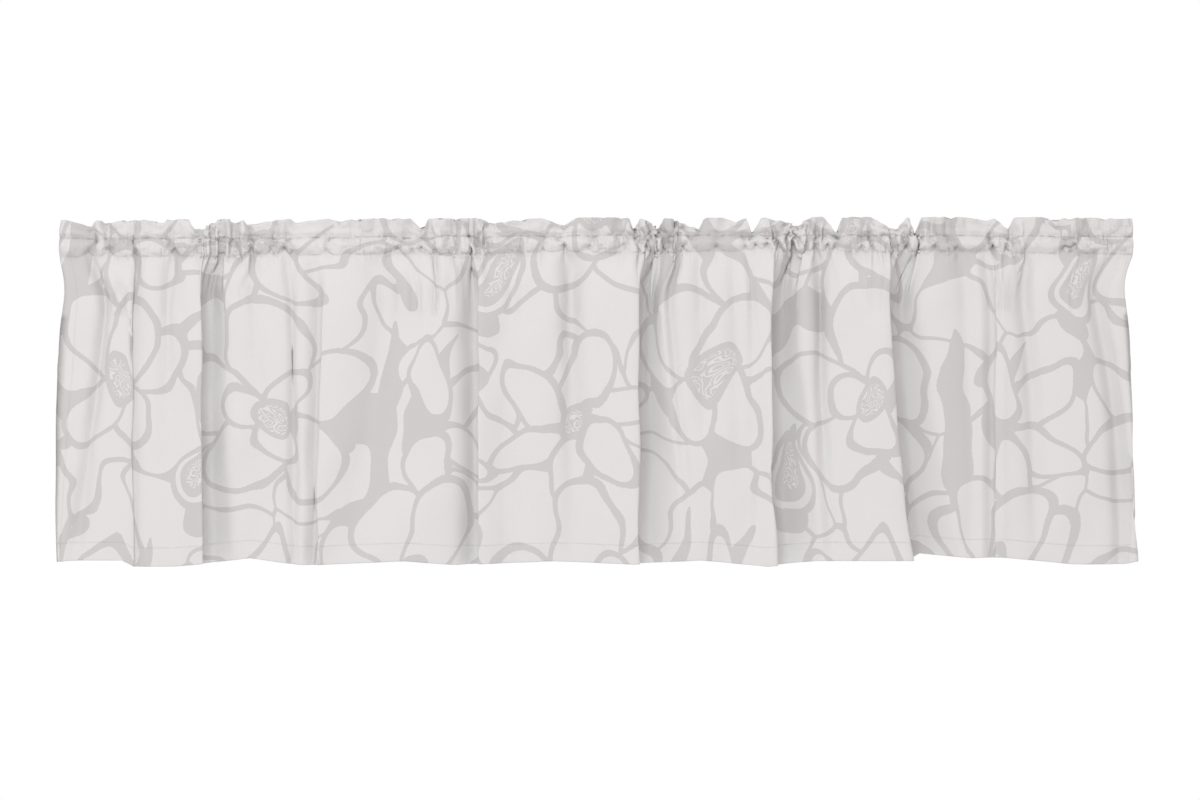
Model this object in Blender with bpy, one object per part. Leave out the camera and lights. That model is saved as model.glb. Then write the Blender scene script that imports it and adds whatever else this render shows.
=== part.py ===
"""Window valance: one cotton panel with a gathered rod-pocket heading, hung in uneven folds.

Metres, +Z up, +X along the rod, -Y towards the room. The origin is on the rod pocket's axis
at mid-length. Nodes: heading (the ruffle and the hollow rod pocket) and skirt (the hanging
panel with its side hems and bottom hem).
"""
from collections import namedtuple
import math

import bmesh
import bpy
import numpy as np

# Driving dimensions
CLOTH = 0.0015                  # thickness of one layer of the solids
HEM_CLOTH = 0.0024              # thickness where a hem doubles the cloth
SIDE_HEM = 0.015                # width of the turned side edges
BOTTOM_HEM = 0.024              # depth of the turned bottom edge
SEAM_GAP = 0.0003               # clearance at the pocket's lower stitch row
PANEL_Y = -0.010                # how far the skirt's panels swing forward of the rod
COLUMN_STEP = 0.0180            # widest facet across the cloth
TABLE_LEVELS = (0.10, 0.46, 1.0)     # heights of the fold table's top, mid and hem columns
FOLD_START = 0.065              # share of the skirt over which the folds open out
ROW_SPREAD = 0.009              # half the run in which a lapped fold gathers at the stitch row
SKIRT_LEVELS = (0.0, 0.02, 0.042, 0.065, 0.14, 0.33, 0.62, 0.938, 0.942, 1.0)

# Rod pocket section, measured at right angles to the rod
POCKET_INNER = 0.0058           # half the pocket's clear depth
POCKET_OUTER = 0.0072           # half the pocket's outer depth
TIP_INNER = 0.0010              # from a stitch row to the clear space
SHOULDER = 0.0030               # from a stitch row to where the outer wall is upright
SEAM_HALF = 0.0010              # half the thickness at the lower stitch row
NECK_HALF = 0.0012              # half the thickness of the doubled ruffle
RUFFLE_TIP_HALF = 0.0010        # half the thickness of the ruffle's folded top edge
POCKET_WAVE = 0.0022            # how far the walls puff out between gathers
RUFFLE_PUFF = 0.0040            # how far the ruffle leans forward between gathers
RUFFLE_BEND = 0.4               # share of its lean that the ruffle has half way up

# Below the stitch row each gather draws the skirt in, deepest at this level
GATHER_IN = 0.0030
GATHER_LEVEL = 0.05

LAP_DEPTH = 0.3                 # depth of a lap's turned edge, as a share of the fold's
SWING_SHARE = 0.6               # the panels swing forward over a longer run than the folds
CREASE_ANGLE = 50               # degrees above which an edge is shaded sharp

# Heights along the valance: x, the two stitch rows, the ruffle's top edge
Row = namedtuple("Row", "x lower upper top")
ROWS = (
    Row(-0.696, -0.0165, 0.0075, 0.0312),
    Row(-0.450, -0.0155, 0.0080, 0.0325),
    Row(-0.200, -0.0120, 0.0095, 0.0330),
    Row(0.000, -0.0100, 0.0115, 0.0340),
    Row(0.250, -0.0090, 0.0120, 0.0352),
    Row(0.450, -0.0095, 0.0110, 0.0350),
    Row(0.600, -0.0115, 0.0095, 0.0345),
    Row(0.697, -0.0125, 0.0085, 0.0325),
)

# Gathers that notch the ruffle: x, how deep the notch is, half its width
Notch = namedtuple("Notch", "x depth half")
NOTCHES = (
    Notch(-0.660, 0.0080, 0.012),
    Notch(-0.608, 0.0040, 0.014),
    Notch(-0.563, 0.0050, 0.012),
    Notch(-0.519, 0.0095, 0.014),
    Notch(-0.460, 0.0060, 0.016),
    Notch(-0.329, 0.0040, 0.016),
    Notch(-0.227, 0.0110, 0.013),
    Notch(-0.136, 0.0060, 0.014),
    Notch(-0.044, 0.0070, 0.016),
    Notch(0.049, 0.0120, 0.013),
    Notch(0.082, 0.0110, 0.012),
    Notch(0.132, 0.0130, 0.014),
    Notch(0.202, 0.0160, 0.014),
    Notch(0.262, 0.0090, 0.014),
    Notch(0.311, 0.0170, 0.015),
    Notch(0.390, 0.0140, 0.013),
    Notch(0.413, 0.0190, 0.013),
    Notch(0.536, 0.0130, 0.016),
    Notch(0.599, 0.0070, 0.014),
)

# Folds of the skirt, left to right. A lapped fold has one side in front of the other.
# x, and how far the cloth goes in behind the panels, at three heights; run is the way
# back to the panels at the top and at the hem, crest how far the front edge stands out,
# lap how far it overhangs, gap the run from the front edge to the deepest line.
LEFT, NEITHER, RIGHT = -1, 0, 1
Fold = namedtuple(
    "Fold", "name front x_top x_mid x_hem in_top in_mid in_hem run_top run_hem crest lap gap")
FOLDS = (
    Fold("left_dip", NEITHER, -0.635, -0.650, -0.678, 0.012, 0.011, 0.004, 0.010, 0.015, 0, 0, 0),
    Fold("first_step", LEFT, -0.602, -0.602, -0.600, 0.004, 0.004, 0.005, 0.010, 0.010, 0.001, 0.001, 0.003),
    Fold("narrow_dip", NEITHER, -0.557, -0.557, -0.553, 0.010, 0.004, 0, 0.010, 0.014, 0, 0, 0),
    Fold("second_lap", LEFT, -0.512, -0.512, -0.510, 0.017, 0.021, 0.021, 0.022, 0.034, 0.01, 0.004, 0.008),
    Fold("slight_dip", NEITHER, -0.445, -0.438, -0.432, 0.006, 0.003, 0.001, 0.012, 0.012, 0, 0, 0),
    Fold("third_dip", NEITHER, -0.396, -0.394, -0.393, 0.008, 0.008, 0.005, 0.008, 0.009, 0, 0, 0),
    Fold("third_lap", RIGHT, -0.354, -0.359, -0.362, 0.008, 0.009, 0.009, 0.014, 0.013, 0.003, 0, 0.005),
    Fold("broad_dip", NEITHER, -0.268, -0.288, -0.318, 0.012, 0.009, 0.004, 0.022, 0.034, 0, 0, 0),
    Fold("fourth_lap", RIGHT, -0.153, -0.153, -0.153, 0.018, 0.02, 0.02, 0.025, 0.027, 0.004, 0.004, 0.006),
    Fold("low_dip", NEITHER, -0.114, -0.116, -0.115, 0.002, 0.005, 0.008, 0.012, 0.020, 0, 0, 0),
    Fold("centre_dip", NEITHER, -0.034, -0.032, -0.028, 0.018, 0.012, 0.004, 0.017, 0.026, 0, 0, 0),
    Fold("fifth_lap", LEFT, 0.055, 0.055, 0.055, 0.022, 0.026, 0.023, 0.014, 0.053, 0.010, 0.005, 0.007),
    Fold("fifth_dip", NEITHER, 0.092, 0.106, 0.127, 0.009, 0.005, 0, 0.008, 0.009, 0, 0, 0),
    Fold("first_pleat", NEITHER, 0.136, 0.138, 0.152, 0.010, 0.003, 0, 0.010, 0.010, 0, 0, 0),
    Fold("second_pleat", NEITHER, 0.179, 0.182, 0.184, 0.008, 0.003, 0, 0.011, 0.010, 0, 0, 0),
    Fold("sixth_dip", NEITHER, 0.203, 0.202, 0.202, 0.008, 0.001, 0, 0.007, 0.006, 0, 0, 0),
    Fold("sixth_lap", LEFT, 0.229, 0.227, 0.233, 0.025, 0.029, 0.026, 0.02, 0.048, 0.006, 0.004, 0.012),
    Fold("side_dip", NEITHER, 0.292, 0.292, 0.309, 0.018, 0.012, 0.002, 0.011, 0.012, 0, 0, 0),
    Fold("seventh_lap", LEFT, 0.380, 0.386, 0.409, 0.024, 0.027, 0.028, 0.032, 0.056, 0.012, 0.006, 0.008),
    Fold("third_pleat", NEITHER, 0.478, 0.484, 0.488, 0.008, 0.004, 0.001, 0.012, 0.009, 0, 0, 0),
    Fold("eighth_lap", RIGHT, 0.517, 0.517, 0.517, 0.008, 0.006, 0.007, 0.011, 0.011, 0.003, 0, 0.005),
    Fold("right_dip", NEITHER, 0.553, 0.565, 0.572, 0.012, 0.010, 0.005, 0.014, 0.020, 0, 0, 0),
    Fold("last_dip", NEITHER, 0.642, 0.670, 0.680, 0.012, 0.016, 0.011, 0.017, 0.017, 0, 0, 0),
)

Edge = namedtuple("Edge", "x_top x_mid x_hem back")
LEFT_EDGE = Edge(-0.697, -0.701, -0.701, 0.006)
RIGHT_EDGE = Edge(0.697, 0.694, 0.701, 0.003)

# Height of the bottom edge along the valance: x, z
HEM_LINE = (
    (-0.701, -0.413), (-0.671, -0.411), (-0.613, -0.411), (-0.600, -0.419), (-0.547, -0.419),
    (-0.505, -0.415), (-0.450, -0.408), (-0.385, -0.417), (-0.360, -0.417), (-0.249, -0.412),
    (-0.183, -0.417), (-0.125, -0.415), (-0.060, -0.412), (0.050, -0.416), (0.135, -0.411),
    (0.223, -0.419), (0.285, -0.412), (0.410, -0.411), (0.421, -0.403), (0.486, -0.408),
    (0.525, -0.407), (0.618, -0.416), (0.687, -0.416), (0.701, -0.412),
)

COTTON = (0.76, 0.74, 0.73, 1.0)
COTTON_ROUGHNESS = 0.9


def clear_scene():
    """Remove whatever the open file holds."""
    for thing in list(bpy.data.objects):
        bpy.data.objects.remove(thing)


def cotton():
    """Matt printed cotton, off-white."""
    material = bpy.data.materials.new("printed_cotton")
    material.use_nodes = True
    shader = material.node_tree.nodes["Principled BSDF"]
    shader.inputs["Base Color"].default_value = COTTON
    shader.inputs["Roughness"].default_value = COTTON_ROUGHNESS
    shader.inputs["Metallic"].default_value = 0.0
    return material


def opening_out(level):
    """0 at the stitch row, 1 where the folds are fully open, quick at first."""
    share = min(level / FOLD_START, 1.0)
    return share * (2.0 - share)


def at_level(top, mid, hem, level):
    """Smooth curve through a fold's top, mid and hem values."""
    start, middle, end = TABLE_LEVELS
    t = max(level - start, 0.0) / (end - start)
    m = (middle - start) / (end - start)
    pull = (mid - (1 - m) ** 2 * top - m * m * hem) / (2 * m * (1 - m))
    return (1 - t) ** 2 * top + 2 * t * (1 - t) * pull + t * t * hem


def fold_points(fold, level):
    """Plan points of one fold at a level: (x, how far in behind the panels), left to right."""
    grown = opening_out(level)
    x = at_level(fold.x_top, fold.x_mid, fold.x_hem, level)
    depth = at_level(fold.in_top, fold.in_mid, fold.in_hem, level) * grown
    run = lerp(fold.run_top, fold.run_hem, level)
    if fold.front == NEITHER:
        return [(x - run, 0.0), (x, depth), (x + run, 0.0)]
    away = -fold.front
    closed = ROW_SPREAD * (1.0 - grown)
    points = [
        (x - away * closed, -fold.crest * grown),
        (x - away * fold.lap * grown, LAP_DEPTH * depth),
        (x + away * (fold.gap * grown + closed), depth),
        (x + away * (fold.gap + run), 0.0),
    ]
    return points if away > 0 else points[::-1]


def plan_points(level):
    """Control points of the whole skirt in plan at a level."""
    swing = PANEL_Y * opening_out(SWING_SHARE * level)
    points = [(at_level(*LEFT_EDGE[:3], level), LEFT_EDGE.back)]
    for fold in FOLDS:
        points += fold_points(fold, level)
    points.append((at_level(*RIGHT_EDGE[:3], level), RIGHT_EDGE.back))
    return np.array(points) + np.array((0.0, swing))


def spline(points, params):
    """Centripetal Catmull-Rom curve through the points, at params counted in points."""
    ends = np.vstack((2 * points[0] - points[1], points, 2 * points[-1] - points[-2]))
    result = []
    for param in params:
        i = min(int(param), len(points) - 2)
        p = ends[i:i + 4]
        gaps = np.sqrt(np.linalg.norm(np.diff(p, axis=0), axis=1))
        knots = np.concatenate(([0.0], np.cumsum(gaps)))
        t = knots[1] + (param - i) * (knots[2] - knots[1])
        a = [lerp(p[k], p[k + 1], (t - knots[k]) / (knots[k + 1] - knots[k])) for k in range(3)]
        b = [lerp(a[k], a[k + 1], (t - knots[k]) / (knots[k + 2] - knots[k])) for k in range(2)]
        result.append(lerp(b[0], b[1], (t - knots[1]) / (knots[2] - knots[1])))
    return np.array(result)


def lerp(a, b, share):
    return a + (b - a) * share


def columns():
    """Params of the facet columns: every control point, with long runs split evenly."""
    points = plan_points(TABLE_LEVELS[1])
    runs = np.linalg.norm(np.diff(points, axis=0), axis=1)
    params = []
    for i, run in enumerate(runs):
        splits = max(1, math.ceil(run / COLUMN_STEP))
        params += [i + k / splits for k in range(splits)]
    return params + [len(points) - 1]


def row_values(x):
    """Stitch rows and top edge of the ruffle, without its notches, at each x."""
    table = np.array(ROWS)
    return [np.interp(x, table[:, 0], table[:, k]) for k in (1, 2, 3)]


def gathers(x):
    """1 on a notch's centre and 0 between notches, and the notch depth, at each x."""
    closeness = np.zeros_like(x)
    depth = np.zeros_like(x)
    for notch in NOTCHES:
        near = np.exp(-((x - notch.x) / notch.half) ** 2)
        closeness = np.maximum(closeness, near)
        depth = np.maximum(depth, near * notch.depth)
    return closeness, depth


def closed_mesh(name, points, faces, material):
    """A smooth-shaded object from points and faces that close on themselves."""
    mesh = bpy.data.meshes.new(name)
    mesh.from_pydata([tuple(point) for point in points], [], faces)
    shape = bmesh.new()
    shape.from_mesh(mesh)
    bmesh.ops.triangulate(shape, faces=shape.faces[:])
    bmesh.ops.recalc_face_normals(shape, faces=shape.faces[:])
    shape.to_mesh(mesh)
    shape.free()
    mesh.shade_smooth()
    mesh.set_sharp_from_angle(angle=math.radians(CREASE_ANGLE))
    mesh.materials.append(material)
    thing = bpy.data.objects.new(name, mesh)
    bpy.context.scene.collection.objects.link(thing)
    return thing


def skirt_surface(params):
    """Middle surface of the skirt: an array of points by level, then column."""
    levels = []
    hem_x = np.maximum.accumulate(spline(plan_points(1.0), params)[:, 0])
    hem_z = np.interp(hem_x, *np.array(HEM_LINE).T)
    row_x = spline(plan_points(0.0), params)[:, 0]
    top_z = row_values(row_x)[0] - SEAM_GAP
    pinch = gathers(row_x)[0]
    for level in SKIRT_LEVELS:
        plan = spline(plan_points(level), params)
        share = level / GATHER_LEVEL
        y = plan[:, 1] + GATHER_IN * pinch * share * math.exp(1.0 - share)
        levels.append(np.column_stack((plan[:, 0], y, lerp(top_z, hem_z, level))))
    return np.array(levels)


def level_normals(grid):
    """Unit normals of each level's plan curve, level with the floor and pointing to the front."""
    across = np.gradient(grid[:, :, :2], axis=1)
    normals = np.dstack((across[:, :, 1], -across[:, :, 0], np.zeros(grid.shape[:2])))
    return normals / np.linalg.norm(normals, axis=2, keepdims=True)


def make_skirt(params, material):
    """The hanging panel, thicker at its side and bottom hems."""
    middle = skirt_surface(params)
    runs = np.linalg.norm(np.diff(middle[-1], axis=0), axis=1)
    across = np.concatenate(([0.0], np.cumsum(runs)))
    side = np.minimum(across, across[-1] - across) < SIDE_HEM
    hem_level = 1.0 - BOTTOM_HEM / (middle[0, :, 2] - middle[-1, :, 2]).mean()
    bottom = (np.array(SKIRT_LEVELS) > hem_level)[:, None]
    thickness = np.where(side[None, :] | bottom, HEM_CLOTH, CLOTH)
    half = 0.5 * thickness[:, :, None] * level_normals(middle)
    rows, count = middle.shape[:2]
    points = np.vstack(((middle + half).reshape(-1, 3), (middle - half).reshape(-1, 3)))
    back = rows * count

    def at(row, column, layer=0):
        return layer * back + row * count + column

    faces = []
    for r in range(rows - 1):
        for c in range(count - 1):
            quad = (at(r, c), at(r, c + 1), at(r + 1, c + 1), at(r + 1, c))
            faces.append(quad)
            faces.append(tuple(corner + back for corner in quad))
        for c in (0, count - 1):
            faces.append((at(r, c), at(r + 1, c), at(r + 1, c, 1), at(r, c, 1)))
    for c in range(count - 1):
        for r in (0, rows - 1):
            faces.append((at(r, c), at(r, c + 1), at(r, c + 1, 1), at(r, c, 1)))
    return closed_mesh("skirt", points, faces, material)


def heading_section(lower, upper, top, puff, lean):
    """Section across the rod: the outer loop of 12 points, then the clear pocket's 6."""
    wall = POCKET_OUTER + puff
    clear = POCKET_INNER + puff
    ruffle_mid = lerp(upper, top, 0.5)
    front = [
        (-SEAM_HALF, lower),
        (-wall, lower + SHOULDER),
        (-wall, upper - SHOULDER),
        (-NECK_HALF, upper),
        (-NECK_HALF + RUFFLE_BEND * lean, ruffle_mid),
        (-RUFFLE_TIP_HALF + lean, top),
    ]
    rear = [
        (RUFFLE_TIP_HALF + lean, top),
        (NECK_HALF + RUFFLE_BEND * lean, ruffle_mid),
        (NECK_HALF, upper),
        (wall, upper - SHOULDER),
        (wall, lower + SHOULDER),
        (SEAM_HALF, lower),
    ]
    pocket = [
        (0.0, lower + TIP_INNER),
        (-clear, lower + TIP_INNER + SHOULDER),
        (-clear, upper - TIP_INNER - SHOULDER),
        (0.0, upper - TIP_INNER),
        (clear, upper - TIP_INNER - SHOULDER),
        (clear, lower + TIP_INNER + SHOULDER),
    ]
    return front + rear + pocket


def make_heading(params, material):
    """The gathered ruffle over the rod pocket, which is open at both ends."""
    x = spline(plan_points(0.0), params)[:, 0]
    lower, upper, top = row_values(x)
    pinch, depth = gathers(x)
    points = []
    for c in range(len(x)):
        puff = POCKET_WAVE * (1.0 - pinch[c])
        lean = 0.5 * depth[c] - RUFFLE_PUFF * (1.0 - pinch[c])
        section = heading_section(lower[c], upper[c], top[c] - depth[c], puff, lean)
        points += [(x[c], y, z) for y, z in section]
    outer, inner = range(12), range(12, 18)     # as heading_section lists them
    size = len(outer) + len(inner)
    faces = []
    for c in range(len(x) - 1):
        for loop in (outer, inner):
            for k, point in enumerate(loop):
                following = loop[(k + 1) % len(loop)]
                quad = (point, following, following + size, point + size)
                faces.append(tuple(c * size + corner for corner in quad))
    cap = [
        (0, 11, 12), (0, 12, 13, 1), (1, 13, 14, 2), (2, 14, 15, 3), (3, 15, 8),
        (8, 15, 16, 9), (9, 16, 17, 10), (10, 17, 12, 11), (3, 8, 7, 4), (4, 7, 6, 5),
    ]
    for end in (0, len(x) - 1):
        faces += [tuple(end * size + point for point in face) for face in cap]
    return closed_mesh("heading", points, faces, material)


def main():
    clear_scene()
    material = cotton()
    params = columns()
    make_heading(params, material)
    make_skirt(params, material)


main()
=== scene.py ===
"""Looks of the window valance: one printed cotton panel, gathered on its pocket and hung in folds.

Metres, +Z up, +X along the rod, -Y towards the room, origin on the rod pocket's axis. The cloth is
one sheet. Its columns are yarns that run from the heading to the hem, and its rows run across.
"""
from collections import namedtuple
import math
import random

import bpy
import numpy as np
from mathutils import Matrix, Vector


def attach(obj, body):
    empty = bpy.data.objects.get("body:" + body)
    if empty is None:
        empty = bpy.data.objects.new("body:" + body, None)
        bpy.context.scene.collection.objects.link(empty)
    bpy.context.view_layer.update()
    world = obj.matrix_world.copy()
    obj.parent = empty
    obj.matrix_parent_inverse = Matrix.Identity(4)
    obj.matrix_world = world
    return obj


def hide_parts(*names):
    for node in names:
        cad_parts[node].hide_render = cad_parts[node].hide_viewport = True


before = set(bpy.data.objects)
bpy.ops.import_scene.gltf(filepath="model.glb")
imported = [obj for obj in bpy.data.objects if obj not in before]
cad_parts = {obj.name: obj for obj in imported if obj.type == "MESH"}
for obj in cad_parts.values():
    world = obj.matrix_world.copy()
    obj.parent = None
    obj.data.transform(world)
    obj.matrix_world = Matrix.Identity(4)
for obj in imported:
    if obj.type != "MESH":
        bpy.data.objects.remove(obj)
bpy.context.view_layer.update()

# ---------------- sizes shared with the CAD
SIDE_HEM = 0.015
BOTTOM_HEM = 0.024
PANEL_Y = -0.010
TABLE_LEVELS = (0.10, 0.46, 1.0)
FOLD_START = 0.065
ROW_SPREAD = 0.009

# Heights along the valance: x, lower stitch row, upper stitch row, top edge of the ruffle
ROWS = (
    (-0.696, -0.0165, 0.0075, 0.0312), (-0.450, -0.0155, 0.0080, 0.0325),
    (-0.200, -0.0120, 0.0095, 0.0330), (0.000, -0.0100, 0.0115, 0.0340),
    (0.250, -0.0090, 0.0120, 0.0352), (0.450, -0.0095, 0.0110, 0.0350),
    (0.600, -0.0115, 0.0095, 0.0345), (0.697, -0.0125, 0.0085, 0.0325),
)

# The notches of the ruffle and the puckers of the pocket were read off enlarged crops of the
# photo, in its pixels. These turn the readings into places and lengths on the valance.
PIXEL = 0.0013          # the hanging valance is 346 pixels high and 0.45 m
PHOTO_X, PHOTO_Y = 596.5, 244   # where the origin is in the photo


def photo_x(pixel):
    """Place along the valance, to half a millimetre."""
    return round((pixel - PHOTO_X) * PIXEL * 2000) / 2000


def photo_z(pixel):
    """Height on the valance, to half a millimetre."""
    return round((PHOTO_Y - pixel) * PIXEL * 2000) / 2000


def photo_length(pixels):
    """Length on the valance, to a millimetre."""
    return round(pixels * PIXEL * 1000) / 1000


# Gathers that notch the ruffle, in pixels: x, depth, run on the left, run on the right
Notch = namedtuple("Notch", "x depth left right")
NOTCH_PIXELS = (
    (89, 7, 20, 8), (110, 4, 10, 12), (130, 3, 6, 5), (163, 4, 18, 5),
    (197, 10, 7, 22), (236, 5, 5, 6), (247, 6, 5, 35), (296, 4, 6, 30),
    (343, 4, 12, 7), (422, 12, 10, 6), (492, 5, 12, 45), (563, 8, 20, 12),
    (634, 13, 4, 7), (658, 11, 14, 7), (698, 12, 26, 5), (736, 6, 10, 8),
    (752, 18, 5, 9), (798, 9, 28, 12), (836, 18, 10, 6), (897, 13, 24, 9),
    (914, 19, 4, 8), (987, 3.5, 22, 8), (1009, 12, 14, 6), (1057, 7, 10, 4),
)
NOTCHES = [Notch(photo_x(x), *map(photo_length, lengths)) for x, *lengths in NOTCH_PIXELS]

# Folds of the skirt, left to right. A lapped fold has one side in front of the other. x, and how
# far the cloth goes in behind the panels, at three heights; run is the way back to the panels at
# the top and at the hem, crest how far the front edge stands out, lap how far it overhangs, and
# gap the run from the front edge to the deepest line.
LEFT, NEITHER, RIGHT = -1, 0, 1
Fold = namedtuple(
    "Fold", "name front x_top x_mid x_hem in_top in_mid in_hem run_top run_hem crest lap gap",
    defaults=(0, 0, 0))
FOLDS = (
    Fold("left_dip", NEITHER, -0.635, -0.650, -0.678, 0.012, 0.011, 0.004, 0.010, 0.015),
    Fold("first_step", LEFT, -0.602, -0.602, -0.600, 0.004, 0.004, 0.005, 0.010, 0.010, 0.001, 0.001, 0.003),
    Fold("narrow_dip", NEITHER, -0.557, -0.557, -0.553, 0.010, 0.004, 0, 0.010, 0.014),
    Fold("second_lap", LEFT, -0.512, -0.512, -0.510, 0.017, 0.021, 0.021, 0.022, 0.034, 0.01, 0.004, 0.008),
    Fold("slight_dip", NEITHER, -0.445, -0.438, -0.432, 0.006, 0.003, 0.001, 0.012, 0.012),
    Fold("third_dip", NEITHER, -0.396, -0.394, -0.393, 0.008, 0.008, 0.005, 0.008, 0.009),
    Fold("third_lap", RIGHT, -0.354, -0.359, -0.362, 0.008, 0.009, 0.009, 0.014, 0.013, 0.003, 0, 0.005),
    Fold("broad_dip", NEITHER, -0.268, -0.288, -0.318, 0.012, 0.009, 0.004, 0.022, 0.034),
    Fold("fourth_lap", RIGHT, -0.153, -0.153, -0.153, 0.018, 0.02, 0.02, 0.025, 0.027, 0.004, 0.004, 0.006),
    Fold("low_dip", NEITHER, -0.114, -0.116, -0.115, 0.002, 0.005, 0.008, 0.012, 0.020),
    Fold("centre_dip", NEITHER, -0.034, -0.032, -0.028, 0.018, 0.012, 0.004, 0.017, 0.026),
    Fold("fifth_lap", LEFT, 0.055, 0.055, 0.055, 0.022, 0.026, 0.023, 0.014, 0.053, 0.010, 0.005, 0.007),
    Fold("fifth_dip", NEITHER, 0.092, 0.106, 0.127, 0.009, 0.005, 0, 0.008, 0.009),
    Fold("first_pleat", NEITHER, 0.136, 0.138, 0.152, 0.010, 0.003, 0, 0.010, 0.010),
    Fold("second_pleat", NEITHER, 0.179, 0.182, 0.184, 0.008, 0.003, 0, 0.011, 0.010),
    Fold("sixth_dip", NEITHER, 0.203, 0.202, 0.202, 0.008, 0.001, 0, 0.007, 0.006),
    Fold("sixth_lap", LEFT, 0.229, 0.227, 0.233, 0.025, 0.029, 0.026, 0.02, 0.048, 0.006, 0.004, 0.012),
    Fold("side_dip", NEITHER, 0.292, 0.292, 0.309, 0.018, 0.012, 0.002, 0.011, 0.012),
    Fold("seventh_lap", LEFT, 0.380, 0.386, 0.409, 0.024, 0.027, 0.028, 0.032, 0.056, 0.012, 0.006, 0.008),
    Fold("third_pleat", NEITHER, 0.478, 0.484, 0.488, 0.008, 0.004, 0.001, 0.012, 0.009),
    Fold("eighth_lap", RIGHT, 0.517, 0.517, 0.517, 0.008, 0.006, 0.007, 0.011, 0.011, 0.003, 0, 0.005),
    Fold("right_dip", NEITHER, 0.553, 0.565, 0.572, 0.012, 0.010, 0.005, 0.014, 0.020),
    Fold("last_dip", NEITHER, 0.642, 0.670, 0.680, 0.012, 0.016, 0.011, 0.017, 0.017),
)

Edge = namedtuple("Edge", "x_top x_mid x_hem back")
LEFT_EDGE = Edge(-0.697, -0.701, -0.701, 0.006)
RIGHT_EDGE = Edge(0.697, 0.694, 0.701, 0.003)

# Height of the bottom edge along the valance: x, z
HEM_LINE = (
    (-0.701, -0.413), (-0.671, -0.411), (-0.613, -0.411), (-0.600, -0.419), (-0.547, -0.419),
    (-0.505, -0.415), (-0.450, -0.408), (-0.385, -0.417), (-0.360, -0.417), (-0.249, -0.412),
    (-0.183, -0.417), (-0.125, -0.415), (-0.060, -0.412), (0.050, -0.416), (0.135, -0.411),
    (0.223, -0.419), (0.285, -0.412), (0.410, -0.411), (0.421, -0.403), (0.486, -0.408),
    (0.525, -0.407), (0.618, -0.416), (0.687, -0.416), (0.701, -0.412),
)

# ---------------- sizes of the looks alone
# Puckers that cross the pocket, by how deep they draw the cloth in, in metres. In pixels: x at
# the upper and the lower stitch row, and y of the pinch at the lower row.
Pucker = namedtuple("Pucker", "upper lower pinch depth")
PUCKER_PIXELS = {
    0.0039: (
        (97, 89, 257), (200, 200, 254), (484, 488, 259), (750, 756, 250), (893, 895, 254),
        (990, 993, 252),
    ),
    0.0032: (
        (116, 109, 254), (171, 175, 256), (287, 284, 253), (328, 327, 255), (427, 421, 252),
        (558, 565, 251), (594, 601, 256), (635, 640, 255), (668, 671, 255), (718, 717, 251),
        (775, 779, 249), (823, 828, 251), (861, 862, 254), (869, 873, 250), (904, 907, 251),
        (1014, 1018, 258),
    ),
    0.0026: (
        (132, 137, 260), (253, 251, 254), (276, 271, 256), (289, 293, 257), (404, 397, 252),
        (478, 479, 257), (629, 626, 250), (642, 647, 251), (663, 664, 253), (690, 683, 252),
        (744, 746, 252), (768, 767, 246), (817, 814, 249), (922, 918, 250), (949, 957, 254),
        (1009, 1006, 253),
    ),
    0.0022: ((1066, 1064, 250),),
    0.0019: (
        (226, 222, 254), (232, 239, 258), (409, 413, 257), (431, 436, 257), (546, 543, 253),
        (591, 588, 251), (795, 793, 247), (838, 835, 250), (932, 936, 250),
    ),
    0.0018: ((1072, 1075, 250),),
    0.0013: ((347, 347, 254),),
}
PUCKERS = sorted(
    Pucker(photo_x(upper), photo_x(lower), photo_z(pinch), depth)
    for depth, places in PUCKER_PIXELS.items() for upper, lower, pinch in places)

# Stretches of fine gathers between the puckers: from, to, pitch, depth
Gather = namedtuple("Gather", "start end pitch depth")
FINE_GATHERS = (
    Gather(-0.520, -0.380, 0.0120, 0.0007), Gather(-0.270, -0.200, 0.0100, 0.0008),
    Gather(-0.165, -0.140, 0.0070, 0.0008), Gather(-0.010, 0.470, 0.0090, 0.0009),
    Gather(0.385, 0.430, 0.0060, 0.0009), Gather(0.470, 0.550, 0.0110, 0.0008),
    Gather(0.600, 0.630, 0.0080, 0.0008),
)
GATHER_PITCHES = (0.6, 1.4)     # how their pitches, depths and leans vary
GATHER_DEPTHS = (0.4, 1.4)
GATHER_LEAN = 0.004
GATHER_SEED = 11
SWELL_SEED = 5
SWAY_SEED = 8

# Creases pressed into the hanging cloth: x and z of the ends, half width, how deep
Crease = namedtuple("Crease", "start end width depth")
CREASES = (
    Crease((-0.70, -0.304), (0.72, -0.301), 0.0050, 0.0007),
    Crease((-0.189, -0.100), (-0.153, -0.136), 0.0060, 0.0016),
    Crease((-0.700, -0.195), (-0.655, -0.225), 0.0080, -0.0015),
    Crease((-0.700, -0.245), (-0.640, -0.300), 0.0090, 0.0014),
    Crease((0.527, -0.060), (0.527, -0.420), 0.0040, -0.0012),
    Crease((0.640, -0.200), (0.700, -0.290), 0.0090, -0.0014),
    Crease((0.655, -0.120), (0.700, -0.180), 0.0080, 0.0014),
    Crease((-0.420, -0.030), (-0.410, -0.150), 0.0050, 0.0012),
    Crease((-0.300, -0.060), (-0.275, -0.190), 0.0070, 0.0010),
    Crease((0.020, -0.050), (0.010, -0.170), 0.0060, 0.0010),
    Crease((0.165, -0.050), (0.160, -0.180), 0.0050, 0.0012),
    Crease((0.330, -0.040), (0.345, -0.150), 0.0060, 0.0012),
)

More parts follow.
